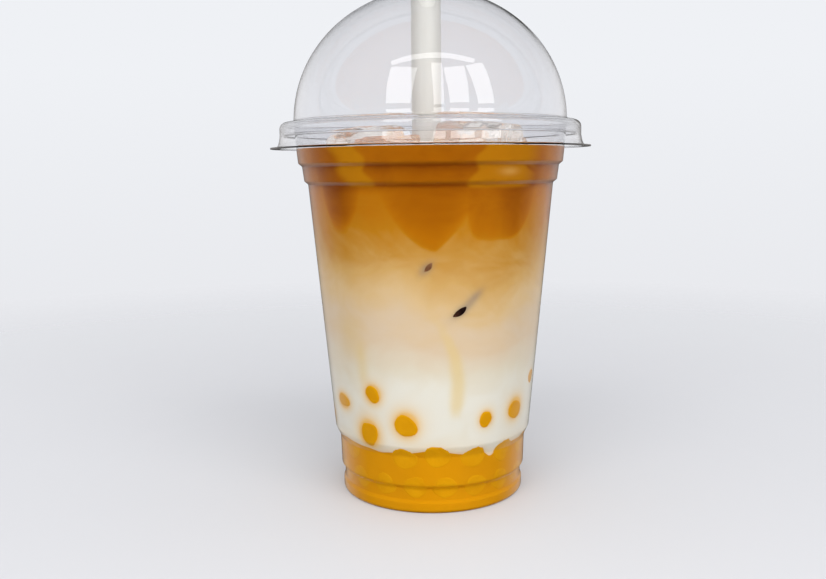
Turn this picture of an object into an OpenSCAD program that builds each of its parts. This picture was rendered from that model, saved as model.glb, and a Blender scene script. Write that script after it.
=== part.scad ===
// Bubble tea: tea over milk over popping pearls, in a clear cup with a dome lid and a straw.
// The cup stands on z = 0 with its axis on Z. Its front, the side at angle 0, faces -Y.

/* [Cup] */
// Height of the cup, to the top of its rolled rim
cup_h = 119.2; // [100:0.1:145]
// Outer diameter of the rolled rim
rim_d = 95; // [86:0.5:114]
// Outer diameter of the heel that the cup stands on
base_d = 59.6; // [50:0.2:71]
// Thickness of the cup's plastic
cup_wall = 0.45; // [0.3:0.05:0.8]
// How far the rolled rim stands out from the wall under it
lip_w = 4.1; // [3:0.1:5.5]
// Depth of the hollow under the base
recess_h = 3; // [1.5:0.1:5]
// Width of the flat ring that touches the table
foot_w = 3; // [2:0.1:5]
// Height of the straight band above the heel's groove
foot_band_h = 9.4; // [6:0.2:14]
// How far the low shoulder steps out from the foot band
shoulder_out = 1.5; // [0.8:0.1:2]
// Height of the low shoulder's slope
shoulder_h = 3.3; // [2:0.1:5]
// How far each stacking ledge under the rim steps out
ledge_out = 1.2; // [0.8:0.05:1.8]
// Height of the lower stacking band
ledge_band_h = 5.6; // [3:0.1:7]
// Depth from the rim's top to the upper stacking ledge
rim_band_h = 12.2; // [10:0.1:16]

/* [Lid] */
// Thickness of the lid's plastic
lid_wall = 0.4; // [0.3:0.05:0.7]
// Height of the dome above the rim
dome_h = 40.8; // [30:0.2:52]
// How far the dome is set in from the snap ring's outside
dome_inset = 4.5; // [3.5:0.1:6]
// Height of the snap ring, from the brim to the dome's foot
ring_h = 7.8; // [6:0.1:10]
// How far the thin brim stands out from the snap ring
brim_w = 3.05; // [1.5:0.05:4.5]
// Diameter of the hole for the straw
straw_hole_d = 14; // [13:0.2:20]
// Clearance between the rim and the lid
lid_gap = 0.1; // [0.05:0.05:0.3]

/* [Straw] */
// Outer diameter of the straw
straw_d = 9.5; // [8:0.1:12]
// Thickness of the straw's wall
straw_wall = 0.4; // [0.3:0.05:0.6]
// Length of the straw
straw_l = 205; // [175:1:250]
// How far the straw stands to the left of the cup's axis
straw_left = 1; // [0:0.1:3]
// Height of the slanted cut at the straw's lower end
straw_slant = 8; // [4:0.5:12]

/* [Drink] */
// Depth from the rim's top down to the drink
headroom = 7.6; // [6:0.1:12]
// Mean depth of the clear tea
tea_depth = 22; // [14:0.5:26]
// Mean depth of the band where tea runs into milk
blend_depth = 36; // [22:0.5:42]
// How far the tea's lobes reach up and down
lobe_h = 7; // [2:0.5:8]
// Mean height of the pearls above the table
bed_h = 20.4; // [14:0.2:25]
// How far the pearls on top stand proud of the bed
lump_h = 1.4; // [0.6:0.1:2]

/* [Ice] */
// Edge of an ice cube
ice_size = 20; // [15:0.5:24]
// Gap between the ice and the cup
ice_gap = 1; // [0.5:0.1:3]

/* [Hidden] */
$fn = 96;
rim_r = rim_d / 2;
base_r = base_d / 2;
straw_r = straw_d / 2;
level = cup_h - headroom;
floor_z = recess_h + cup_wall;

// Heel, groove and low band
heel_round = 1.2;
heel_h = 3.2;
groove_d = 0.5;
groove_h = 3.6;
groove_slope = 1;
groove_r = base_r - groove_d;
foot_band_z = heel_h + groove_slope + groove_h + groove_slope;
foot_band_out = 1.05;
foot_band_r = groove_r + foot_band_out;
foot_band_taper = 0.3;
shoulder_z = foot_band_z + foot_band_h;
recess_slope = 2;

// Stacking bands and curled rim
wall_top_r = rim_r - lip_w;
curl_r = (lip_w + cup_wall) / 2;
curl_axis = [rim_r - curl_r, cup_h - curl_r];
curl_end = -45;
upper_ledge_z = cup_h - rim_band_h;
lower_ledge_z = upper_ledge_z - ledge_band_h;
ledge_slope = 1;
rim_taper = 1;
ledge_band_taper = 0.6;
upper_band_r = wall_top_r - rim_taper;
lower_band_r = upper_band_r - ledge_out;
body_top_r = lower_band_r - ledge_band_taper - ledge_out;

// Lid
lid_z = cup_h + lid_gap + lid_wall;
ring_r = rim_r + lid_gap / 2 + lid_wall;
brim_z = lid_z - ring_h;
brim_flare = 1;
flare_h = 3.3;
flare_bend = 0.4;
ring_round = 2.1;
dome_r = ring_r - dome_inset;
dome_foot = 1.2;
dome_steps = 24;

// Ice: reach of its melted corners, as a share of its edge, and clearance between neighbours
ice_melt = 0.76;
ice_clear = 0.3;
ICE = ["right", "left", "back_left", "back_right"];

// ---- paths and shells ----

// Points of an arc from angle a to angle b, both ends included
function arc(centre, r, a, b, steps) =
    [for (i = [0 : steps]) centre + r * [cos(a + (b - a) * i / steps), sin(a + (b - a) * i / steps)]];

function unit(v) = v / norm(v);

// Normal to the left of a stretch of path
function left(from, to) = let (d = unit(to - from)) [-d.y, d.x];

// A path moved to its left by a distance, with mitred corners
function moved_left(path, distance) =
    let (last = len(path) - 1)
    [for (i = [0 : last])
        let (before = left(path[max(i - 1, 0)], path[max(i, 1)]),
             after = left(path[min(i, last - 1)], path[min(i + 1, last)]))
        path[i] + distance * (before + after) / (1 + before * after)];

function reversed(list) = [for (i = [len(list) - 1 : -1 : 0]) list[i]];

// ---- cup ----

// Outside of the cup, from the middle of its base up to the end of the curled rim
function cup_path() = concat(
    [[0, recess_h],
     [base_r - heel_round - foot_w - recess_slope, recess_h],
     [base_r - heel_round - foot_w, 0]],
    arc([base_r - heel_round, heel_round], heel_round, -90, 0, 4),
    [[base_r, heel_h],
     [groove_r, heel_h + groove_slope],
     [groove_r, heel_h + groove_slope + groove_h],
     [foot_band_r, foot_band_z],
     [foot_band_r + foot_band_taper, shoulder_z],
     [foot_band_r + foot_band_taper + shoulder_out, shoulder_z + shoulder_h],
     [body_top_r, lower_ledge_z - ledge_slope],
     [lower_band_r - ledge_band_taper, lower_ledge_z],
     [lower_band_r, upper_ledge_z - ledge_slope],
     [upper_band_r, upper_ledge_z]],
    arc(curl_axis, curl_r - cup_wall, 180, curl_end, 15));

module cup() {
    color("gainsboro", 0.35)
    rotate_extrude()
    polygon(concat(cup_path(), reversed(moved_left(cup_path(), cup_wall))));
}

// ---- lid ----

// The dome is a quarter of an ellipse that ends at the straw's hole
function dome_point(a) = [dome_r * cos(a), lid_z + dome_h * sin(a)];

// Outside of the lid, from the brim's edge over the snap ring to the straw's hole
function lid_path() =
    let (hole_a = acos(straw_hole_d / 2 / dome_r),
         foot_a = asin(dome_foot / dome_h))
    concat(
        [[ring_r + brim_w, brim_z],
         [ring_r + brim_flare, brim_z],
         [ring_r + brim_flare * flare_bend, brim_z + flare_h * flare_bend],
         [ring_r, brim_z + flare_h]],
        arc([ring_r - ring_round, lid_z - ring_round], ring_round, 0, 90, 6),
        arc([dome_r + dome_foot, lid_z + dome_foot], dome_foot, -90, -180, 4),
        [for (i = [1 : dome_steps]) dome_point(foot_a + (hole_a - foot_a) * i / dome_steps)]);

module lid() {
    color("whitesmoke", 0.35)
    rotate_extrude()
    polygon(concat(lid_path(), reversed(moved_left(lid_path(), lid_wall))));
}

// ---- straw ----

module straw() {
    color("ivory")
    translate([-straw_left, 0, floor_z])
    difference() {
        cylinder(r = straw_r, h = straw_l);
        translate([0, 0, -1])
        cylinder(r = straw_r - straw_wall, h = straw_l + 2);
        // the slanted cut leaves a point that stands on the floor
        translate([-straw_r, 0, 0])
        rotate([0, -atan(straw_slant / straw_d), 0])
        translate([-straw_d, -straw_d, -4 * straw_d])
        cube([8 * straw_d, 2 * straw_d, 4 * straw_d]);
    }
}

// The drink that stands inside the straw, as high as outside it
module straw_tea() {
    color("sienna")
    translate([-straw_left, 0, floor_z + straw_slant])
    cylinder(r = straw_r - straw_wall, h = level - floor_z - straw_slant);
}

// ---- drink ----

// Everything the cup holds below the level, as one solid of revolution
module fill() {
    inside = moved_left(cup_path(), cup_wall);
    below = [for (p = inside) if (p.y < level && p.x < wall_top_r) p];
    last = len(below) - 1;
    next = inside[last + 1];
    share = (level - below[last].y) / (next.y - below[last].y);
    top = below[last] + share * (next - below[last]);
    rotate_extrude()
    polygon(concat(below, [top, [0, level]]));
}

function around(a, r) = [r * sin(a), -r * cos(a)];

// Uneven boundaries between the layers, as heights at an angle and a radius.
// Each calms down towards the middle.
function calm(r) = min(r / (base_r * 0.8), 1);
bed_top = function (a, r)
    bed_h + calm(r) * lump_h * (cos(17 * a - 34) + 0.5 * sin(6 * a + 40) - 0.6 * cos(11 * a - 36));
milk_top = function (a, r)
    level - tea_depth - blend_depth + calm(r) * 2 * (cos(3 * a + 20) + 0.5 * sin(5 * a));
tea_bottom = function (a, r)
    level - tea_depth + lobe_h * (calm(r) * (0.25 * cos(18 * a) - cos(9 * a + 27)) - 0.2 * cos(2 * a));

// Closed slab between two boundaries, wider than the cup. Every slab has the same sides and
// rings, so that the layers meet face to face.
module slab(low, high) {
    sides = 80;
    rings = 5;
    reach = rim_r - lip_w / 2;
    step = reach / rings;
    grid = [for (f = [low, high]) each concat(
        [[0, 0, f(0, 0)]],
        [for (k = [1 : rings], j = [0 : sides - 1])
            let (a = 360 * (j + 0.5) / sides)
            [each around(a, k * step), f(a, k * step)]])];
    half = 1 + sides * rings;
    at = function (side, k, j) side * half + 1 + (k - 1) * sides + j % sides;
    polyhedron(grid, concat(
        [for (j = [0 : sides - 1]) each [
            [0, at(0, 1, j), at(0, 1, j + 1)],
            [half, at(1, 1, j + 1), at(1, 1, j)]]],
        [for (k = [1 : 1 : rings - 1], j = [0 : sides - 1]) each [
            [at(0, k, j), at(0, k + 1, j), at(0, k + 1, j + 1)],
            [at(0, k, j), at(0, k + 1, j + 1), at(0, k, j + 1)],
            [at(1, k, j), at(1, k + 1, j + 1), at(1, k + 1, j)],
            [at(1, k, j), at(1, k, j + 1), at(1, k + 1, j + 1)]]],
        [for (j = [0 : sides - 1]) each [
            [at(0, rings, j), at(1, rings, j), at(1, rings, j + 1)],
            [at(0, rings, j), at(1, rings, j + 1), at(0, rings, j + 1)]]]));
}

// One layer of the drink, cut round the straw
module layer(low, high) {
    difference() {
        intersection() {
            fill();
            slab(low, high);
        }
        translate([-straw_left, 0, -1])
        cylinder(r = straw_r, h = cup_h);
    }
}

under = function (a, r) -5;
over = function (a, r) cup_h + 5;

module pearl_bed() {
    color("orange")
    layer(under, bed_top);
}

module milk() {
    color("oldlace")
    layer(bed_top, milk_top);
}

module tea_milk() {
    color("burlywood")
    difference() {
        layer(milk_top, tea_bottom);
        ice();
    }
}

module tea() {
    color("sienna")
    difference() {
        layer(tea_bottom, over);
        ice();
    }
}

// ---- ice ----

// Where a floating cube is: angle round the cup, rise of its middle above the level, spin, tilt
function ice_place(name) =
    name == "right" ? [38, -1, 10, 9] :
    name == "left" ? [-36, -7.5, 38, -7] :
    name == "back_left" ? [-112, -3, -12, 10] :
    [118, -6, 14, -8];

// How far the cube reaches from its middle towards the cup, once spun and tilted
function ice_reach(spin, tilt) =
    ice_size / 2 * (cos(spin) + sin(abs(spin)) + 1.5 * sin(abs(tilt)));

// A cube whose corners have melted round, grown all over by a clearance
module ice_block(name, grow = 0) {
    place = ice_place(name);
    room_r = body_top_r - cup_wall - ice_gap;
    middle_r = sqrt(room_r ^ 2 - (ice_size / 2) ^ 2) - ice_reach(place[2], place[3]);
    translate([each around(place[0], middle_r), level + place[1]])
    rotate([place[3], place[3] / 2, place[0] + place[2]])
    intersection() {
        cube(ice_size + 2 * grow, center = true);
        sphere(r = ice_size * ice_melt + grow);
    }
}

// A cube melted clear of the straw and of the cubes before it
module ice_cube(index) {
    difference() {
        ice_block(ICE[index]);
        translate([-straw_left, 0, 0])
        cylinder(r = straw_r + ice_clear, h = cup_h + dome_h);
        for (i = [0 : 1 : index - 1]) ice_block(ICE[i], ice_clear);
    }
}

module ice() {
    for (index = [0 : len(ICE) - 1]) ice_cube(index);
}

module ice_right() { color("lightcyan") ice_cube(0); }
module ice_left() { color("lightcyan") ice_cube(1); }
module ice_back_left() { color("lightcyan") ice_cube(2); }
module ice_back_right() { color("lightcyan") ice_cube(3); }

cup();
lid();
straw();
tea();
tea_milk();
milk();
pearl_bed();
straw_tea();
ice_right();
ice_left();
ice_back_left();
ice_back_right();
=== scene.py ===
"""Looks of a bubble tea: clear cup and dome lid, straw, layered drink, pearls and ice."""
import math

import bmesh
import bpy
import numpy as np
from mathutils import Matrix, Vector, noise


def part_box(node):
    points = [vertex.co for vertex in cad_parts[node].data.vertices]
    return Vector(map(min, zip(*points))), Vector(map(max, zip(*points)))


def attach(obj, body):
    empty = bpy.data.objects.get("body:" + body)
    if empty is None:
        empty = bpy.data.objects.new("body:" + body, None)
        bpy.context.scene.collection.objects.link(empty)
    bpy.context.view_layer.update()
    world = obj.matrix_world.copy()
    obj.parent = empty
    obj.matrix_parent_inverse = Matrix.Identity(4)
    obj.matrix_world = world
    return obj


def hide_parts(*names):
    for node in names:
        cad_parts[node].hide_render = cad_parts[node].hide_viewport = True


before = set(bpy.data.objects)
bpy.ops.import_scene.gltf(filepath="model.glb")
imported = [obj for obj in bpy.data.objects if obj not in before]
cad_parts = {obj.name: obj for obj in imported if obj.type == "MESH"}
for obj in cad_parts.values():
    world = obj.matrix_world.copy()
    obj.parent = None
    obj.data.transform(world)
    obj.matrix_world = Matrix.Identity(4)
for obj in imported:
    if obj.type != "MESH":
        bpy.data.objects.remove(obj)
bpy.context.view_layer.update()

MM = 0.001
rng = np.random.default_rng(7)

# ---- sizes, in millimetres ----


def box_mm(node):
    """Low and high corner of one of the CAD's nodes."""
    low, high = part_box(node)
    return np.array(low) / MM, np.array(high) / MM


cup_high = box_mm("cup")[1]
lid_high = box_mm("lid")[1]
tea_high = box_mm("tea")[1]
straw_low, straw_high = box_mm("straw")

CUP_WALL = 0.45
LID_WALL = 0.4
LID_GAP = 0.1
REACH = 0.15             # how far the drink reaches into the cup's wall
BED_REACH = 0.18         # how far a pearl of the bed reaches into it
PEARL_REACH = 0.27       # how far a pearl that hangs in the milk does
PEARL_R = 4.5
FACET = 0.05             # the rims stay this far inside the CAD's

cup_h = cup_high[2]
rim_r = cup_high[0] - FACET
level = tea_high[2]
straw_r = (straw_high[0] - straw_low[0]) / 2
straw_x = (straw_high[0] + straw_low[0]) / 2
floor_z = straw_low[2]

BASE_R = 29.8
HEEL_ROUND = 1.2
HEEL_H = 3.2
RECESS_H = floor_z - CUP_WALL
RECESS_SLOPE = 2.0
FOOT_W = 3.0
FOOT_ROUND = 0.5
GROOVE_DEPTH = 0.5
GROOVE_R = BASE_R - GROOVE_DEPTH
GROOVE_LOW, GROOVE_HIGH = 4.2, 7.8
BAND_OUT = 1.05
BAND_R = GROOVE_R + BAND_OUT
BAND_Z = 8.8
BAND_TAPER = 0.3
SHOULDER_Z = 18.2
SHOULDER_H = 3.3
SHOULDER_OUT = 1.5
BEND_ROUND = 0.45

LIP_W = 4.1
CURL_R = (LIP_W + CUP_WALL) / 2
CURL_END = -45
RIM_TAPER = 1.0
LEDGE_OUT = 1.2
LEDGE_TAPER = 0.6
LEDGE_SLOPE = 1.0
UPPER_R = rim_r - LIP_W - RIM_TAPER
LOWER_R = UPPER_R - LEDGE_OUT
LOWER_FOOT_R = LOWER_R - LEDGE_TAPER
BODY_R = LOWER_FOOT_R - LEDGE_OUT
RIM_BAND_H = 12.2
LEDGE_BAND_H = 5.6
UPPER_LEDGE = cup_h - RIM_BAND_H
LOWER_LEDGE = UPPER_LEDGE - LEDGE_BAND_H

RING_H = 7.8
RING_ROUND = 2.1
BRIM_ROUND = 0.5
BRIM_FLARE = 1.0
FLARE_H = 3.3
FLARE_BEND = 0.4         # where the flare bends, as a share of its width and height
DOME_INSET = 4.5
DOME_FOOT = 1.2
STRAW_HOLE_R = 7.0

# ---- paths of (radius, height) ----

NEARLY_STRAIGHT = math.radians(88)       # half the angle of a corner too flat to round
CUT_SHARE = 0.45                         # how much of a side one corner's curve may take up


def arc(centre, radius, start, end, steps):
    """Points round a centre, from one angle to another."""
    turn = np.radians(np.linspace(start, end, steps + 1))
    return [(centre[0] + radius * math.cos(t), centre[1] + radius * math.sin(t)) for t in turn]


def moved_left(path, distance):
    """The path moved to its left, with mitred corners."""
    path = np.array(path, float)
    along = np.diff(path, axis=0)
    along /= np.linalg.norm(along, axis=1)[:, None]
    normal = np.stack([-along[:, 1], along[:, 0]], axis=1)
    before = np.vstack([normal[:1], normal])
    after = np.vstack([normal, normal[-1:]])
    return path + distance * (before + after) / (1 + (before * after).sum(1))[:, None]


def rounded(path, radius, steps=4):
    """The path with each corner between its ends turned into a small curve."""
    path = [np.array(p, float) for p in path]
    out = [path[0]]
    for a, b, c in zip(path, path[1:], path[2:]):
        len_a, len_c = np.linalg.norm(a - b), np.linalg.norm(c - b)
        to_a, to_c = (a - b) / len_a, (c - b) / len_c
        half = math.acos(max(-1, min(1, to_a @ to_c))) / 2
        if half > NEARLY_STRAIGHT:
            out.append(b)
            continue
        cut = min(radius / math.tan(half), len_a * CUT_SHARE, len_c * CUT_SHARE)
        p, q = b + to_a * cut, b + to_c * cut
        for t in np.linspace(0, 1, steps + 1):
            out.append((1 - t) ** 2 * p + 2 * t * (1 - t) * b + t ** 2 * q)
    out.append(path[-1])
    return np.array(out)


def cup_outside():
    """Outside of the cup, from the middle of the base to the end of the curled rim."""
    foot_r = BASE_R - HEEL_ROUND - FOOT_W
    foot = [(0, RECESS_H), (foot_r - RECESS_SLOPE, RECESS_H), (foot_r, 0)]
    heel = arc((BASE_R - HEEL_ROUND, HEEL_ROUND), HEEL_ROUND, -90, 0, 6)
    wall = [(BASE_R, HEEL_H), (GROOVE_R, GROOVE_LOW), (GROOVE_R, GROOVE_HIGH), (BAND_R, BAND_Z),
            (BAND_R + BAND_TAPER, SHOULDER_Z),
            (BAND_R + BAND_TAPER + SHOULDER_OUT, SHOULDER_Z + SHOULDER_H),
            (BODY_R, LOWER_LEDGE - LEDGE_SLOPE), (LOWER_FOOT_R, LOWER_LEDGE),
            (LOWER_R, UPPER_LEDGE - LEDGE_SLOPE), (UPPER_R, UPPER_LEDGE)]
    curl = arc((rim_r - CURL_R, cup_h - CURL_R), CURL_R - CUP_WALL, 180, CURL_END, 24)
    low = rounded(foot + heel[:1], FOOT_ROUND)[:-1]
    high = rounded(heel + wall + curl[:1], BEND_ROUND)[:-1]
    return np.vstack([low, high, np.array(curl)])


def lid_outside():
    """Outside of the lid, from the brim's edge to the straw's hole."""
    lid_z = cup_h + LID_GAP + LID_WALL
    ring_r = rim_r + LID_GAP - FACET + LID_WALL
    brim_z = lid_z - RING_H
    dome_r = ring_r - DOME_INSET
    hole = math.acos(STRAW_HOLE_R / dome_r)
    dome_h = (lid_high[2] - lid_z) / math.sin(hole)
    foot = math.asin(DOME_FOOT / dome_h)
    skirt = [(lid_high[0] - FACET, brim_z), (ring_r + BRIM_FLARE, brim_z),
             (ring_r + BRIM_FLARE * FLARE_BEND, brim_z + FLARE_H * FLARE_BEND), (ring_r, brim_z + FLARE_H)]
    shoulder = arc((ring_r - RING_ROUND, lid_z - RING_ROUND), RING_ROUND, 0, 90, 10)
    fillet = arc((dome_r + DOME_FOOT, lid_z + DOME_FOOT), DOME_FOOT, -90, -175, 8)
    dome = [(dome_r * math.cos(a), lid_z + dome_h * math.sin(a)) for a in np.linspace(foot, hole, 56)[1:]]
    return np.vstack([rounded(skirt + shoulder[:1], BRIM_ROUND)[:-1], np.array(shoulder), np.array(fillet),
                      np.array(dome)])


# ---- meshes ----

SHELL_SIDES = 256


def new_object(name, points_mm, faces):
    """A smooth mesh, from millimetres to the frame's metres."""
    mesh = bpy.data.meshes.new(name)
    mesh.from_pydata((np.asarray(points_mm, float) * MM).tolist(), [], faces)
    mesh.polygons.foreach_set("use_smooth", [True] * len(faces))
    mesh.update()
    piece = bpy.data.objects.new(name, mesh)
    bpy.context.scene.collection.objects.link(piece)
    return piece


def around(angle, radius):
    """Point at an angle in degrees from the front, -Y, towards +X."""
    a = np.radians(angle)
    return radius * np.sin(a), -radius * np.cos(a)


def ring_faces(rows, width, breaks):
    """Faces between each row and the next, but not after a row that the surface breaks at."""
    faces = []
    for row in range(rows - 1):
        if row in breaks:
            continue
        low, high = row * width, (row + 1) * width
        for j in range(width):
            k = (j + 1) % width
            faces.append((low + j, low + k, high + k, high + j))
    return faces


def lathe(name, path, sides, closed):
    """Surface of revolution about Z of a path of (radius, height); a point on the axis is one vertex."""
    path = np.asarray(path, float)
    angle = np.arange(sides) * 360 / sides
    points, rows = [], []
    for r, z in path:
        if r < 1e-6:
            rows.append([len(points)] * sides)
            points.append((0, 0, z))
            continue
        x, y = around(angle, r)
        rows.append(list(range(len(points), len(points) + sides)))
        points.extend(zip(x, y, [z] * sides))
    faces = []
    for low, high in list(zip(rows, rows[1:])) + ([(rows[-1], rows[0])] if closed else []):
        for j in range(sides):
            k = (j + 1) % sides
            ring = [low[j], low[k], high[k], high[j]]
            face = [v for i, v in enumerate(ring) if v != ring[i - 1]]
            if len(face) > 2:
                faces.append(face)
    return new_object(name, points, faces)


def shell(name, outside, wall, closed):
    """A wall of even thickness inside a path, turned about Z."""
    return lathe(name, np.vstack([outside, moved_left(outside, wall)[::-1]]), SHELL_SIDES, closed)


def read_points(mesh):
    """A mesh's vertices, in millimetres."""
    xyz = np.empty(len(mesh.vertices) * 3)
    mesh.vertices.foreach_get("co", xyz)
    return xyz.reshape(-1, 3) / MM


# ---- materials ----


def linear(r, g, b):
    """A colour as seen on screen, 0 to 255, as the light it stands for."""
    out = []
    for c in (r, g, b):
        c /= 255
        out.append(c / 12.92 if c <= 0.04045 else ((c + 0.055) / 1.055) ** 2.4)
    return (*out, 1.0)


EXPOSURE = 0.92
BRIGHTEST = 0.95


def body(r, g, b):
    """Body colour of something that should look (r, g, b) in this light, behind the cup's wall."""
    return (*[min(c * EXPOSURE, BRIGHTEST) for c in linear(r, g, b)[:3]], 1.0)


class Tree:
    """Short way to write a node tree."""

    def __init__(self, tree):
        self.tree = tree

    def add(self, kind, inputs=None, **settings):
        node = self.tree.nodes.new(kind)
        for key, value in settings.items():
            setattr(node, key, value)
        for key, value in (inputs or {}).items():
            self.put(node.inputs[key], value)
        return node

    def put(self, socket, value):
        if isinstance(value, bpy.types.NodeSocket):
            self.tree.links.new(value, socket)
        elif isinstance(value, bpy.types.Node):
            self.tree.links.new(value.outputs[0], socket)
        else:
            socket.default_value = value

    def math(self, operation, a, b=0.0, clamp=False):
        node = self.add("ShaderNodeMath", operation=operation, use_clamp=clamp)
        self.put(node.inputs[0], a)
        self.put(node.inputs[1], b)
        return node.outputs[0]

    def swing(self, value, size):
        """A noise of 0 to 1 turned into a swing about zero."""
        return self.math("MULTIPLY", self.math("SUBTRACT", value, 0.5), size)

    def remap(self, value, low, high, to_low=0.0, to_high=1.0):
        """A value from low to high, as one from to_low to to_high."""
        return self.add("ShaderNodeMapRange", {"Value": value, "From Min": low, "From Max": high,
                                               "To Min": to_low, "To Max": to_high}).outputs[0]

    def mix(self, factor, a, b):
        node = self.add("ShaderNodeMix", data_type="RGBA")
        self.put(node.inputs[0], factor)
        self.put(node.inputs[6], a)
        self.put(node.inputs[7], b)
        return node.outputs[2]

    def noise(self, scale, detail=2.0, stretch=(1, 1, 1), rough=0.5, distortion=0.0):
        where = self.add("ShaderNodeTexCoord").outputs["Object"]
        place = self.add("ShaderNodeMapping", {"Vector": where, "Scale": stretch})
        node = self.add("ShaderNodeTexNoise", {"Vector": place.outputs[0], "Scale": scale, "Detail": detail,
                                               "Roughness": rough, "Distortion": distortion})
        return node.outputs["Fac"]

    def attribute(self, name):
        return self.add("ShaderNodeAttribute", attribute_name=name).outputs["Fac"]

    def ramp(self, factor, stops):
        node = self.add("ShaderNodeValToRGB", {"Fac": factor})
        elements = node.color_ramp.elements
        while len(elements) < len(stops):
            elements.new(1.0)
        for element, (position, colour) in zip(elements, stops):
            element.position = position
            element.color = colour
        return node.outputs["Color"]

    def bump(self, height, distance):
        return self.add("ShaderNodeBump", {"Height": height, "Distance": distance}).outputs["Normal"]


class Nodes(Tree):
    def __init__(self, name):
        self.mat = bpy.data.materials.new(name)
        self.mat.use_nodes = True
        super().__init__(self.mat.node_tree)
        self.tree.nodes.clear()
        self.out = self.add("ShaderNodeOutputMaterial")

    def shadowless(self, shader, colour):
        """The shader, with light let straight through it for shadows."""
        path = self.add("ShaderNodeLightPath")
        through = self.add("ShaderNodeBsdfTransparent", {"Color": colour})
        return self.add("ShaderNodeMixShader", {0: path.outputs["Is Shadow Ray"], 1: shader, 2: through})

    def finish(self, shader):
        self.put(self.out.inputs["Surface"], shader)
        return self.mat


def clear_plastic(name, tint, ior):
    """Clear plastic with the slight waves of thermoforming."""
    n = Nodes(name)
    shader = n.add("ShaderNodeBsdfPrincipled", {
        "Base Color": tint, "Roughness": 0.015, "IOR": ior, "Transmission Weight": 1.0,
        "Normal": n.bump(n.noise(70, 1.0, (1, 1, 0.3)), 0.00008)})
    return n.finish(n.shadowless(shader, (0.96, 0.96, 0.96, 1)))


def clear_ice():
    n = Nodes("melting_ice")
    shader = n.add("ShaderNodeBsdfPrincipled", {
        "Base Color": linear(250, 247, 240), "Roughness": 0.06, "IOR": 1.31,
        "Transmission Weight": 0.85, "Normal": n.bump(n.noise(160, 2.0), 0.0008)})
    return n.finish(n.shadowless(shader, (0.92, 0.9, 0.86, 1)))


# the drink's colour, by how much tea is in it
TEA_RAMP = [(0.00, (234, 231, 220)), (0.10, (229, 221, 202)), (0.24, (226, 207, 180)),
            (0.38, (225, 197, 148)), (0.50, (217, 179, 112)), (0.60, (205, 156, 72)),
            (0.68, (198, 136, 26)), (0.78, (193, 121, 8)), (0.90, (174, 101, 5)), (1.00, (147, 76, 4))]


def drink_material():
    """Tea running down into milk. The mesh says how much tea there is, with painted shade under the ledges
    added to it, and noise clouds it.
    """
    n = Nodes("layered_drink")
    wide = n.swing(n.noise(45, 3.0, (1, 1, 1.5), 0.6, 1.4), 0.19)
    fine = n.swing(n.noise(210, 2.0, (1, 1, 0.7)), 0.03)
    amount = n.math("ADD", n.math("ADD", n.attribute("tea"), wide), fine, clamp=True)
    colour = n.ramp(amount, [(at, body(*c)) for at, c in TEA_RAMP])
    warmth = n.math("MULTIPLY", n.attribute("syrup"), 0.8)
    colour = n.mix(warmth, colour, body(229, 205, 142))
    colour = n.mix(n.attribute("shade"), colour, body(150, 136, 128))
    colour = n.mix(n.attribute("ice"), colour, body(198, 134, 12))
    # pearl halos, with painted light on the milk above the bed and a painted highlight at an ice corner
    colour = n.mix(n.attribute("halo_and_painted_light"), colour, body(236, 194, 112))
    shader = n.add("ShaderNodeBsdfPrincipled", {
        "Base Color": colour, "Roughness": 0.6, "Specular IOR Level": 0.05})
    return n.finish(shader)


def surface_material():
    n = Nodes("tea_surface")
    colour = n.ramp(n.noise(70, 3.0), [(0.3, body(160, 88, 4)), (0.7, body(188, 112, 10))])
    shader = n.add("ShaderNodeBsdfPrincipled", {
        "Base Color": n.mix(n.attribute("ice"), colour, body(208, 150, 40)), "Roughness": 0.05,
        "Specular IOR Level": 0.5, "Normal": n.bump(n.noise(60, 1.0), 0.0008)})
    return n.finish(shader)


def jelly_material(name, dark, light, scale, rough):
    """Mottled between two colours."""
    n = Nodes(name)
    colour = n.ramp(n.noise(scale, 2.0), [(0.3, body(*dark)), (0.7, body(*light))])
    shader = n.add("ShaderNodeBsdfPrincipled", {
        "Base Color": colour, "Roughness": rough, "Specular IOR Level": 0.05,
        "Normal": n.bump(n.noise(scale * 2, 2.0), 0.0002)})
    return n.finish(shader)


def sunk_ice_material(name, dark, light):
    n = Nodes(name)
    colour = n.ramp(n.noise(420, 2.0), [(0.4, linear(*dark)), (0.75, linear(*light))])
    shader = n.add("ShaderNodeBsdfPrincipled", {"Base Color": colour, "Roughness": 0.3,
                                                "Specular IOR Level": 0.1})
    return n.finish(shader)


def straw_material():
    n = Nodes("straw_plastic")
    grain = n.noise(260, 2.0, (1, 1, 0.04))
    colour = n.ramp(grain, [(0.3, linear(196, 196, 190)), (0.7, linear(206, 206, 200))])
    shader = n.add("ShaderNodeBsdfPrincipled", {
        "Base Color": colour, "Roughness": 0.38, "Specular IOR Level": 0.5})
    return n.finish(shader)


def give(piece, nodes, material):
    """The piece with its material, on the body it rides and in place of the CAD's nodes."""
    piece.data.materials.append(material)
    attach(piece, "root")
    if nodes:
        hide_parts(*nodes)
    return piece


def recoat(node, material):
    """The CAD's own mesh with a new material."""
    materials = bpy.data.objects[node].data.materials
    materials.clear()
    materials.append(material)


# ---- cup, lid and straw ----

cup_path = cup_outside()
give(shell("clear_cup", cup_path, CUP_WALL, False), ["cup"],
     clear_plastic("clear_cup_plastic", linear(252, 252, 253), 1.5))
give(shell("dome_lid", lid_outside(), LID_WALL, True), ["lid"],
     clear_plastic("clear_lid_plastic", linear(251, 251, 252), 1.57))
recoat("straw", straw_material())

# ---- drink: where its wall and its boundaries are ----

wet_path = moved_left(cup_path, CUP_WALL - REACH)
# of that, the drink's wall goes from the heel up to the curled rim
wall_path = wet_path[int(np.argmax(wet_path[:, 0] > BASE_R - CUP_WALL)) + 1:]
wall_path = wall_path[:int(np.argmax(wall_path[:, 1] > cup_h - CURL_R)) + 1]


def wall_at(z):
    """Radius of the drink's wall at a height."""
    return np.interp(z, wall_path[:, 1], wall_path[:, 0])


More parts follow.
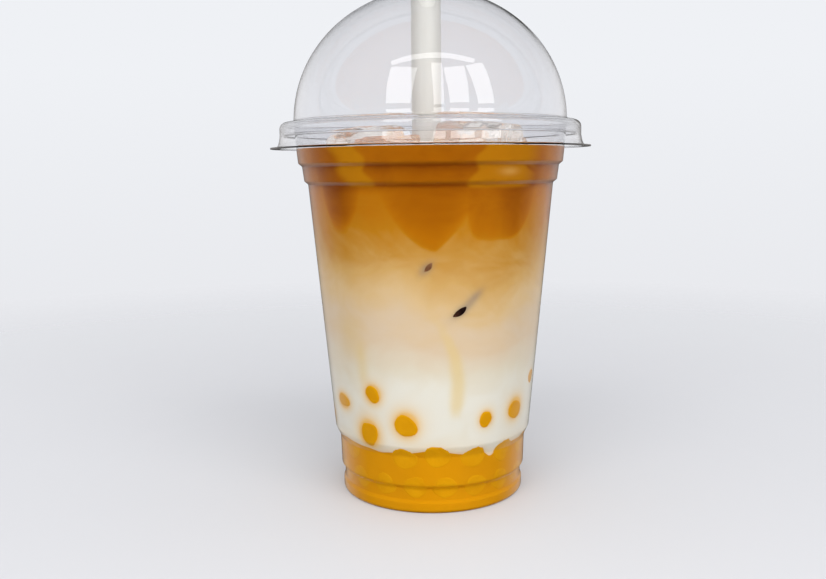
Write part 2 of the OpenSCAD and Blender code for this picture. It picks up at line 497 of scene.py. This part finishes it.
def cos(a):
    """Of an angle in degrees."""
    return np.cos(np.radians(a))


def sin(a):
    """Of an angle in degrees."""
    return np.sin(np.radians(a))


def calm(r):
    """0 on the axis and 1 near the wall, so that waves round the cup die out in its middle."""
    return np.minimum(r / (BASE_R * 0.8), 1)


def turn_from(a, centre):
    """Angle from a centre, between -180 and 180."""
    return (np.asarray(a, float) - centre + 180) % 360 - 180


def hump(a, centre, width):
    """1 at the centre's angle, falling to 0 beside it."""
    return np.exp(-(turn_from(a, centre) / width) ** 2)


def humps(a, rows):
    """Sum of humps, each given by its size, centre and width."""
    return sum(size * hump(a, centre, width) for size, centre, width in rows)


def step(x, low, high):
    """0 below low, 1 above high."""
    t = np.clip((x - low) / (high - low), 0, 1)
    return t * t * (3 - 2 * t)


def between(x, rise, risen, fall, fallen):
    """1 from risen to fall, 0 before rise and after fallen."""
    return step(x, rise, risen) * (1 - step(x, fall, fallen))


def smear(a, z, centre, height, tilt, length, width):
    """A soft slanted smear on the wall."""
    x, y = np.radians(turn_from(a, centre)) * wall_at(z), z - height
    along, off = x * cos(tilt) + y * sin(tilt), y * cos(tilt) - x * sin(tilt)
    return np.exp(-(along / length) ** 2 - (off / width) ** 2)


TEA_DEPTH = 22
MILK_DEPTH = 58
LOBE_H = 7
MILK_WAVE_H = 2
SYRUP_Z = 19.8
SYRUP_DIPS = [(-3.2, 36, 5), (-0.9, -31, 6)]


def milk_top(a, r):
    return level - MILK_DEPTH + calm(r) * MILK_WAVE_H * (cos(3 * a + 20) + 0.5 * sin(5 * a))


def tea_bottom(a, r):
    lobes = calm(r) * (0.25 * cos(18 * a) - cos(9 * a + 27)) - 0.2 * cos(2 * a)
    return level - TEA_DEPTH + LOBE_H * lobes


def syrup_top(a, r):
    """Top of the syrup between the pearls."""
    waves = 0.5 * cos(7 * a + 20) + 0.4 * cos(11 * a - 20)
    return SYRUP_Z + calm(r) * (waves + humps(a, SYRUP_DIPS))


def flat(z):
    """A boundary that is level."""
    return lambda a, r: np.full_like(np.asarray(a, float), z)


DRINK_SIDES = 480
angles = np.arange(DRINK_SIDES) * 360 / DRINK_SIDES
SHARES = np.linspace(0, 1, 13) ** 0.8      # rings of a sheet, closer together towards the wall


def drink_ring(share, z):
    """A ring of drink at a share of the way from the straw, 0, out to the cup's wall, 1."""
    wx, wy = around(angles, wall_at(z))
    sx, sy = around(angles, straw_r)
    return np.stack([(1 - share) * (sx + straw_x) + share * wx, (1 - share) * sy + share * wy, z], axis=-1)


def sheet(boundary, shares):
    """Rings of a boundary between two layers of drink."""
    return [drink_ring(s, boundary(angles, s * BODY_R)) for s in shares]


def drink_layer(name, low, high, wall_rows, floor_rows=None):
    """A body of drink round the straw, between two boundaries."""
    bottom = floor_rows or sheet(low, SHARES)
    top = sheet(high, SHARES[::-1])
    z0, z1 = bottom[-1][:, 2], top[0][:, 2]
    side = [drink_ring(1.0, z0 + (z1 - z0) * t) for t in np.linspace(0, 1, wall_rows + 1)]
    rows = bottom + side + top + [top[-1], bottom[0]]
    breaks = (len(bottom) - 1, len(bottom + side) - 1, len(bottom + side + top) - 1)
    piece = new_object(name, np.concatenate(rows), ring_faces(len(rows), DRINK_SIDES, breaks))
    piece["top"] = [len(bottom + side) * DRINK_SIDES, len(bottom + side + top) * DRINK_SIDES]
    return piece


# ---- drink: how much tea is where ----

# depth under the drink's level, and how much tea there is
TEA_AT = [(0, 0.86), (6, 0.84), (10.6, 0.80), (17.1, 0.74), (24.1, 0.66), (30.6, 0.60), (37.6, 0.51),
          (41.2, 0.45), (44.6, 0.39), (48.3, 0.34), (51.9, 0.28), (59.1, 0.25), (62.6, 0.18), (66.6, 0.11),
          (70.6, 0.04), (76, 0.0)]
LOBE_TEA = 0.89          # how much there is in the lobes of clear tea
LOBE_FADE = 0.14         # how much less at a lobe's edge
LOBE_FADE_H = 5
LEDGE_PAINTED_SHADE = 0.12         # painted shade: how much darker the tea is painted just under a stacking ledge

# swells round the cup, each with its size, angle and width
BLEND_LIFTS = [(5.5, -17, 15), (-5, 33, 15), (1.5, -52, 12)]
DARK_LOBES = [(0.1, -46, 11), (0.05, 40, 7), (-0.02, 24, 8)]
ICE_BEHIND = [(0.7, 128, 14), (0.7, -120, 14)]

# lobes of clear tea: angle and depth of the tip, then the width and the curve of its left and right side
LOBES = [(-44, 22.5, 13, 3.3, 14.5, 2.1), (2, 29.6, 21.5, 1.8, 17, 1.2), (30, 26.8, 16, 5.5, 22.5, 3.6),
         (78, 24, 16, 2.5, 16, 2.5), (118, 29, 19, 2.4, 17, 1.6), (158, 23, 16, 3.0, 14, 2.0),
         (-84, 27, 15, 2.4, 13, 2.4), (-124, 24, 16, 1.8, 16, 3.0), (-162, 28, 17, 2.4, 15, 2.0)]
LOBE_RISE = 12           # how far a side rises in its width

# pearls that hang in the milk at the wall: angle, height, half width and half height of what shows
HANGING = [(-57, 33, 2.9, 2.1), (-32.5, 37.5, 2.4, 2.5), (-37, 24.6, 3.4, 3.8), (-14, 28.8, 3.2, 3.4),
           (30, 29.8, 1.8, 2.0), (51.5, 31, 2.9, 2.9), (69, 39.5, 1.2, 1.3), (95, 28, 3.0, 3.0),
           (121, 36, 2.4, 2.4), (150, 29, 3.2, 3.3), (178, 33, 2.6, 2.6), (-152, 27.5, 3.3, 3.2),
           (-128, 38, 2.2, 2.3), (-101, 30, 3.0, 3.1), (-82, 26, 3.2, 3.0)]


def lobe_edge(a):
    """Height of the lower edge of the clear tea."""
    depth = np.zeros_like(np.asarray(a, float))
    for centre, tip, left, left_power, right, right_power in LOBES:
        aside = turn_from(a, centre)
        rise = np.where(aside < 0, np.abs(aside / left) ** left_power, np.abs(aside / right) ** right_power)
        depth = np.maximum(depth, tip - LOBE_RISE * rise)
    return level - depth


def tea_amount(a, z):
    """0 is milk, 1 is the darkest tea."""
    lift = (humps(a, BLEND_LIFTS) + 2 * cos(3 * a + 200)) * between(z, 44, 56, 70, 84)
    blend = np.interp(level - z + lift, *zip(*TEA_AT))
    above = z - lobe_edge(a)
    tone = LOBE_TEA + humps(a, DARK_LOBES) * (1 - 0.85 * step(z, 98.5, 101.5))
    clear = tone - LOBE_FADE * np.exp(-np.maximum(above, 0) / LOBE_FADE_H)
    soft = 1.0 + 2.6 * hump(a, -43, 9)
    return blend + (np.maximum(clear, blend) - blend) * step(above, -soft, 0.6)


def ledge_shade(z):
    """Painted shade: the tea is painted darker just under the stacking ledges."""
    shade = 0
    for ledge, fade in ((LOWER_LEDGE, 1.0), (UPPER_LEDGE, 1.9)):
        under = ledge - LEDGE_SLOPE - z
        shade = shade + LEDGE_PAINTED_SHADE * step(under, -0.9, 0) * np.exp(-np.maximum(under, 0) / fade)
    return shade


def ice_light(a, z):
    """Ice lightens the tea in front of it."""
    slant = (z - 106) * 0.35 + 1.5 * cos(z * 55)
    left = between(a + slant, -44, -36, -28.5, -25.5) * step(z, 99.5, 101)
    right = step(a - slant, 17, 20) * (1 - step(a, 40, 53)) * step(z, 99, 100.2)
    back = step(z, 96, 101) * sum(size * hump(a, centre, width) ** 2 for size, centre, width in ICE_BEHIND)
    chip = 0.8 * smear(a, z, 45.5, 105, -20, 2.2, 0.5)
    return np.clip(0.9 * left + 0.75 * right + back - chip, 0, 1)


def ice_painted_highlight(a, z):
    """Painted highlight where the corner of a cube meets the wall."""
    return 0.42 * hump(a, 34, 4.5) * np.exp(-((z - 104.2) / 1.1) ** 2)


GLOW_W = 0.2             # the glow starts this far outside a pearl


def pearl_halo_and_painted_light(a, z):
    """Milk turns orange close to a pearl, and is painted lighter along the top of the bed: painted light on
    the slope there that faces down.
    """
    total = np.zeros_like(z)
    for centre, height, wide, tall in HANGING:
        x = np.radians(turn_from(a, centre)) * wall_at(z)
        out = np.hypot(x / (wide + GLOW_W), (z - height) / (tall + GLOW_W)) - 1
        total = np.maximum(total, 0.95 * np.exp(-np.maximum(out, 0) * 2.2))
    # along the top of the bed: partly the syrup's colour through thin milk, partly painted light that lifts
    # the shade on the slope facing down
    line = z - syrup_top(a, BODY_R)
    return np.maximum(total, 0.5 * np.exp(-np.maximum(line, 0) / 1.5) * (line > -1))


# the streak of syrup in front: its angle, and its half width in degrees, at some heights
TRAIL_ANGLES = [(30, 12), (36, 13), (42, 13.5), (50, 11.5), (55, 8), (60, 4), (64, -3)]
TRAIL_WIDTHS = [(30, 2.6), (36, 4.0), (48, 3.6), (60, 2.2)]


def syrup_streak(a, z):
    """Thin syrup trails down through the milk."""
    path = np.interp(z, *zip(*TRAIL_ANGLES))
    wide = np.interp(z, *zip(*TRAIL_WIDTHS))
    trail = np.exp(-np.abs(turn_from(a, path) / wide) ** 3) * between(z, 29, 35, 50, 66)
    patch = 0.5 * hump(a, -38, 3.5) * between(z, 38, 43, 49, 56)
    patch = patch + 0.35 * hump(a, -45, 9) * between(z, 45, 52, 56, 64)
    back = 0.8 * hump(a, 160 + 0.3 * (z - 40), 4) * between(z, 28, 36, 50, 62)
    return np.clip(0.75 * trail + patch + back, 0, 1)


def ice_trail(a, z):
    """Grey shade beside the sunk ice corners."""
    low = 0.5 * smear(a, z, 14, 63.6, 36, 3.4, 1.4) + 0.4 * smear(a, z, 19, 66.8, 44, 3.6, 1.5)
    high = 0.6 * smear(a, z, -2.2, 76.6, 46, 2.6, 1.4)
    return np.clip(low + high + 0.3 * smear(a, z, 22, 68.6, 40, 2.4, 1.1), 0, 1)


def paint(piece):
    """Give a layer of drink the values that its material reads."""
    xyz = read_points(piece.data)
    a, z = np.degrees(np.arctan2(xyz[:, 0], -xyz[:, 1])), xyz[:, 2]
    ice = ice_light(a, z)
    # the tea value also carries the painted shade under the stacking ledges
    values = {"tea": tea_amount(a, z) + ledge_shade(z) * (1 - ice), "ice": ice,
              # pearl halos, painted light above the bed and a painted highlight at an ice corner
              "halo_and_painted_light": pearl_halo_and_painted_light(a, z) + ice_painted_highlight(a, z),
              "syrup": syrup_streak(a, z), "shade": ice_trail(a, z)}
    for name, value in values.items():
        piece.data.attributes.new(name, "FLOAT", "POINT").data.foreach_set("value", value)


def shine_top(piece):
    """The free surface of the tea is glossy."""
    first, end = piece["top"]
    piece.data.materials.append(surface_material())
    for polygon in piece.data.polygons:
        if first <= polygon.vertices[0] < end:
            polygon.material_index = 1


drink = drink_material()
tea = give(drink_layer("tea_layer", tea_bottom, flat(level), 70), ["tea"], drink)
tea_milk = give(drink_layer("tea_milk_layer", milk_top, tea_bottom, 100), ["tea_milk"], drink)
milk = give(drink_layer("milk_layer", syrup_top, milk_top, 110), ["milk"], drink)
for layer in (tea, tea_milk, milk):
    paint(layer)
shine_top(tea)

recoat("straw_tea", jelly_material("tea_in_straw", (150, 84, 5), (176, 100, 8), 90, 0.08))

# ---- pearls in syrup ----


def syrup_core():
    """Syrup between the pearls, over the cup's floor and into its heel."""
    low = wet_path[(wet_path[:, 0] > straw_r + 2) & (wet_path[:, 1] < BAND_Z)]
    x, y = around(angles, straw_r)
    rings = [np.stack([x + straw_x, y, np.full_like(x, low[0][1])], axis=-1)]
    for r, z in low:
        x, y = around(angles, r)
        rings.append(np.stack([x, y, np.full_like(x, z)], axis=-1))
    return drink_layer("syrup_core", None, syrup_top, 40, rings)


LUMP_SCALE = 0.22
WALL_PEARL_LUMPS, INNER_PEARL_LUMPS = 0.16, 0.07
WALL_DETAIL, INNER_DETAIL = 4, 3


def pearl_points(detail):
    """Vertices and faces of a round pearl at the origin."""
    shape = bmesh.new()
    bmesh.ops.create_icosphere(shape, subdivisions=detail, radius=PEARL_R)
    points = np.array([v.co[:] for v in shape.verts])
    faces = [[v.index for v in f.verts] for f in shape.faces]
    shape.free()
    return points, faces


def lumpy(points, seed, size):
    """Slightly uneven, as a soft pearl is."""
    shift = Vector((seed * 1.7, seed * 0.9, 0))
    swell = [1 + size * noise.noise(Vector(p) * LUMP_SCALE + shift) for p in points]
    return points * np.array(swell)[:, None]


def pressed(points, reach=BED_REACH):
    """Points that would leave the cup lie flat against its wall instead."""
    r = np.hypot(points[:, 0], points[:, 1])
    limit = wall_at(points[:, 2]) + reach - REACH
    scale = np.minimum(1, limit / np.maximum(r, 1e-6))
    z = np.maximum(points[:, 2], floor_z + FACET)
    return np.stack([points[:, 0] * scale, points[:, 1] * scale, z], axis=-1)


PATCH_SHARE = 0.92       # a pearl's lumps widen its patch, so it stands a little deeper
SEAT_SHARE = 0.6         # how far up its patch a pearl meets the leaning wall


def settle(a, z, wide, tall, seed, reach=BED_REACH):
    """A pearl at the wall, squeezed so that a patch of the given half width and height shows."""
    points, faces = pearl_points(WALL_DETAIL)
    deep = math.sqrt(PEARL_R ** 2 - wide * tall * PATCH_SHARE)
    stretch = math.sqrt(wide / tall)
    points = lumpy(points, seed, WALL_PEARL_LUMPS) * (stretch, 1, 1 / stretch)
    x, y = around(a, float(wall_at(z + SEAT_SHARE * tall)) - deep)
    ca, sa = math.cos(math.radians(a)), math.sin(math.radians(a))
    spun = np.stack([points[:, 0] * ca - points[:, 1] * sa, points[:, 0] * sa + points[:, 1] * ca,
                     points[:, 2]], axis=-1)
    return pressed(spun + (x, y, z), reach), faces


# pearls on top of the bed in front: angle, height and half size of the patch that shows
FRONT_TOPS = [(2.5, 19.4, 3.6), (24, 18.0, 3.6), (46, 18.4, 3.6), (-16, 18.1, 3.5), (-56, 17.4, 3.5)]
OTHER_TOPS = [67, 88, 109, 131, 152, 173, -77, -98, -119, -140, -161]
OTHER_TOP_Z, OTHER_TOP_SWING, OTHER_TOP_PATCH = 17.5, 1.2, 3.5
BOTTOM_COUNT, BOTTOM_START = 19, 8
BOTTOM_Z, BOTTOM_SWING, BOTTOM_PATCH = 8.3, 0.8, 3.3
BOTTOM_SEED, HANGING_SEED, INNER_SEED = 30, 60, 90
# rings behind those at the wall: radius, number of pearls and height
INNER_RINGS = [(18.3, 11, 8.1), (18.0, 11, 15.6), (10.6, 5, 8.1), (10.4, 5, 15.4)]


def top_ring():
    """Pearls on top of the bed, at the wall."""
    rows = FRONT_TOPS + [(a, OTHER_TOP_Z + OTHER_TOP_SWING * rng.random(), OTHER_TOP_PATCH)
                         for a in OTHER_TOPS]
    return [settle(a, z, patch, patch, i) for i, (a, z, patch) in enumerate(rows)]


def bottom_ring():
    """Pearls under those, at the wall too."""
    out = []
    for i in range(BOTTOM_COUNT):
        a, z = 360 * i / BOTTOM_COUNT + BOTTOM_START, BOTTOM_Z + BOTTOM_SWING * rng.random()
        out.append(settle(a, z, BOTTOM_PATCH, BOTTOM_PATCH, BOTTOM_SEED + i))
    return out


def hanging():
    """Pearls that hang in the milk."""
    return [settle(a, z, wide, tall, HANGING_SEED + i, PEARL_REACH)
            for i, (a, z, wide, tall) in enumerate(HANGING)]


def inner():
    """Pearls behind the two rings at the wall."""
    out = []
    for ring_r, count, z in INNER_RINGS:
        for i in range(count):
            points, faces = pearl_points(INNER_DETAIL)
            x, y = around(360 * (i + 0.3 * rng.random()) / count + z, ring_r)
            out.append((pressed(lumpy(points, INNER_SEED + i + z, INNER_PEARL_LUMPS) + (x, y, z)), faces))
    return out


def joined(name, parts):
    """One object of many meshes."""
    points, faces, at = [], [], 0
    for p, f in parts:
        points.append(p)
        faces += [[v + at for v in face] for face in f]
        at += len(p)
    return new_object(name, np.concatenate(points), faces)


give(syrup_core(), ["pearl_bed"],
     jelly_material("pearl_syrup", (217, 153, 6), (221, 157, 8), 80, 0.4))
give(joined("popping_pearls", top_ring() + bottom_ring() + hanging() + inner()), ["pearl_bed"],
     jelly_material("popping_pearl", (220, 159, 6), (226, 168, 10), 180, 0.4))

# ---- ice ----

# of a melting cube, in metres
MELT_VOXEL = 0.0006
MELT_LUMP = 0.0007
MELT_AWAY = 0.0004

# of a sunk corner: its lumps and bend as shares of its size, the rest in millimetres
CORNER_LUMPS = 0.35
CORNER_BEND = 0.1
CORNER_INSET = 0.5
CORNER_THICK = 1.2


def melted(node):
    """The CAD's cube of ice with melted edges and an uneven skin."""
    source = bpy.data.objects[node]
    piece = source.copy()
    piece.data = source.data.copy()
    piece.name = node + "_cube"
    bpy.context.scene.collection.objects.link(piece)
    piece.data.materials.clear()
    for kind, values in (("REMESH", {"mode": "VOXEL", "voxel_size": MELT_VOXEL}),
                         ("SMOOTH", {"factor": 0.5, "iterations": 12})):
        modifier = piece.modifiers.new(kind, kind)
        for key, value in values.items():
            setattr(modifier, key, value)
    graph = bpy.context.evaluated_depsgraph_get()
    graph.update()
    mesh = bpy.data.meshes.new_from_object(piece.evaluated_get(graph))
    piece.modifiers.clear()
    piece.data = mesh
    normals = [v.normal.copy() for v in mesh.vertices]
    for v, n in zip(mesh.vertices, normals):
        v.co += n * (MELT_LUMP * noise.noise(v.co * 130) - MELT_AWAY)
    mesh.polygons.foreach_set("use_smooth", [True] * len(mesh.polygons))
    return piece


ice = clear_ice()
for node in ("ice_right", "ice_left", "ice_back_left", "ice_back_right"):
    give(melted(node), [node], ice)


def sunk_corner(name, a, z, wide, tall, tilt, material):
    """Corner of an ice cube that touches the wall under the milk tea, pointed at both ends."""
    points, faces = pearl_points(WALL_DETAIL)
    points = lumpy(points / PEARL_R, a + z, CORNER_LUMPS)
    thin = np.maximum(1 - points[:, 0] ** 2, 0) ** 0.5
    x, up = points[:, 0] * wide, points[:, 2] * tall * thin + CORNER_BEND * wide * points[:, 0] ** 2
    x, up = x * cos(tilt) - up * sin(tilt), x * sin(tilt) + up * cos(tilt)
    inset = CORNER_INSET + points[:, 1] * CORNER_THICK
    px, py = around(a + np.degrees(x / wall_at(z)), wall_at(z) - inset)
    points = pressed(np.stack([px, py, z + up], axis=-1), PEARL_REACH)
    return give(new_object(name, points, faces), [], material)


# painted shade: this clear ice corner is coloured nearly black, for the dim inside of the drink seen through
# it
painted_shade_ice = sunk_ice_material("painted_shade_sunk_ice", (22, 6, 4), (84, 50, 34))
brown_ice = sunk_ice_material("brown_sunk_ice", (104, 62, 36), (150, 112, 80))
sunk_corner("sunk_ice_high", -1.0, 77.0, 1.8, 0.75, 50, brown_ice)
sunk_corner("sunk_ice_low", 13.8, 63.6, 3.1, 1.2, 36, painted_shade_ice)
sunk_corner("sunk_ice_back", 148, 70, 2.6, 1.0, -30, brown_ice)

# ---- stage, light and camera ----

# the mirrored room, from in front, 0, to behind, 1, and how bright it is there
ROOM = [(0, 0.015), (0.5, 0.04), (0.62, 0.25), (0.75, 0.6), (1, 0.8)]
ROOM_DARK = 0.12         # how much of it shows in the middle and overhead, against its sides
FLOOR_R = 0.6
FADE_START, FADE_END = 0.12, 0.55

# window panes, 1.5 m from the cup: azimuth, elevation, width and height in degrees
PANE_AWAY = 1.5
PANE_AIM = Vector((0, 0, 0.1))
PANE_RADIANCE = 4.2
PANES = [("left_pane", -25, 29.5, 19, 31), ("middle_pane", 7, 31, 8, 36), ("right_pane", 24, 29.5, 16, 31),
         ("far_pane", 46, 29, 14, 32), ("top_pane", 4, 56, 56, 5), ("sill", 5, 10, 60, 2.0),
         ("low_sill", 0, 2.5, 54, 2.4)]


def stage():
    """A pale floor that fades out into the pale background."""
    n = Nodes("pale_floor")
    colour = n.ramp(n.noise(4, 2.0), [(0.3, (0.59, 0.59, 0.605, 1)), (0.7, (0.605, 0.605, 0.62, 1))])
    shader = n.add("ShaderNodeBsdfPrincipled", {"Base Color": colour, "Roughness": 0.6,
                                                "Specular IOR Level": 0.2})
    away = n.add("ShaderNodeVectorMath", {0: n.add("ShaderNodeTexCoord").outputs["Object"]},
                 operation="LENGTH")
    both = n.add("ShaderNodeMixShader", {0: n.remap(away.outputs["Value"], FADE_START, FADE_END),
                                         1: shader, 2: n.add("ShaderNodeBsdfTransparent")})
    bpy.ops.mesh.primitive_circle_add(vertices=96, radius=FLOOR_R, fill_type="NGON")
    floor = bpy.context.object
    floor.name = "floor"
    floor.visible_glossy = False
    floor.data.materials.append(n.finish(both))


def sky():
    """Pale all round, but clear plastic mirrors a room: dark in front, light behind and at the sides."""
    world = bpy.data.worlds.new("soft_studio")
    bpy.context.scene.world = world
    world.use_nodes = True
    n = Tree(world.node_tree)
    x, y, z = n.add("ShaderNodeSeparateXYZ", {0: n.add("ShaderNodeTexCoord").outputs["Generated"]}).outputs
    pale = n.ramp(n.remap(z, -0.45, 0.1), [(0, linear(224, 224, 228)), (1, linear(239, 241, 245))])
    room = n.ramp(n.remap(y, -1, 1), [(at, (grey, grey * 0.95, grey * 0.92, 1)) for at, grey in ROOM])
    aside = n.remap(n.math("ABSOLUTE", x), 0.2, 0.6, ROOM_DARK, 1)
    overhead = n.remap(z, 0.2, 0.6, 1, ROOM_DARK)
    mirrored = n.add("ShaderNodeVectorMath", {0: room, "Scale": n.math("MULTIPLY", aside, overhead)},
                     operation="SCALE")
    path = n.add("ShaderNodeLightPath").outputs
    reflected = n.math("SUBTRACT", path["Is Glossy Ray"], path["Is Transmission Ray"], clamp=True)
    n.put(n.tree.nodes["Background"].inputs["Color"], n.mix(reflected, pale, mirrored.outputs[0]))


def pane(name, azimuth, elevation, wide, tall, radiance):
    """A bright rectangle that lights but isn't seen, placed and measured in degrees as seen from the cup."""
    a, e = math.radians(azimuth), math.radians(elevation)
    side = Vector((math.sin(a) * math.cos(e), -math.cos(a) * math.cos(e), math.sin(e)))
    light = bpy.data.lights.new(name, "AREA")
    light.shape = "RECTANGLE"
    light.size = 2 * PANE_AWAY * math.tan(math.radians(wide / 2))
    light.size_y = 2 * PANE_AWAY * math.tan(math.radians(tall / 2))
    light.energy = radiance * light.size * light.size_y * math.pi
    lamp = bpy.data.objects.new(name, light)
    lamp.location = PANE_AIM + side * PANE_AWAY
    lamp.rotation_euler = (-side).to_track_quat("-Z", "Y").to_euler()
    lamp.visible_camera = False
    lamp.visible_transmission = False
    lamp.visible_glossy = False
    bpy.context.scene.collection.objects.link(lamp)
    return lamp


def windows():
    """One large soft light, and the window's panes, which are only mirrored, and only in the lid."""
    pane("soft_key", 5, 36, 88, 50, 2.6)
    only_lid = bpy.data.collections.new("only_lid")
    only_lid.objects.link(bpy.data.objects["dome_lid"])
    for place in PANES:
        lamp = pane(*place, PANE_RADIANCE)
        lamp.visible_diffuse = False
        lamp.visible_glossy = True
        lamp.light_linking.receiver_collection = only_lid


def camera():
    """The photo's view: close in front, level with the tea, looking slightly down and a little rolled."""
    distance, height = 0.2912, 0.1057
    pitch, yaw, roll = 0.137, -0.0205, -0.0105
    right = Vector((math.cos(yaw), -math.sin(yaw), 0))
    up = Vector((math.sin(yaw) * math.sin(pitch), math.cos(yaw) * math.sin(pitch), math.cos(pitch)))
    x = right * math.cos(roll) + up * math.sin(roll)
    y = up * math.cos(roll) - right * math.sin(roll)
    data = bpy.data.cameras.new("camera")
    data.sensor_width = 36
    data.lens = 38.85
    data.clip_start = 0.01
    data.clip_end = 20
    eye = bpy.data.objects.new("camera", data)
    turn = Matrix((x, y, x.cross(y))).transposed().to_4x4()
    eye.matrix_world = Matrix.Translation((0, -distance, height)) @ turn
    bpy.context.scene.collection.objects.link(eye)
    bpy.context.scene.camera = eye


stage()
sky()
windows()
camera()
bpy.context.scene.view_settings.view_transform = "Standard"
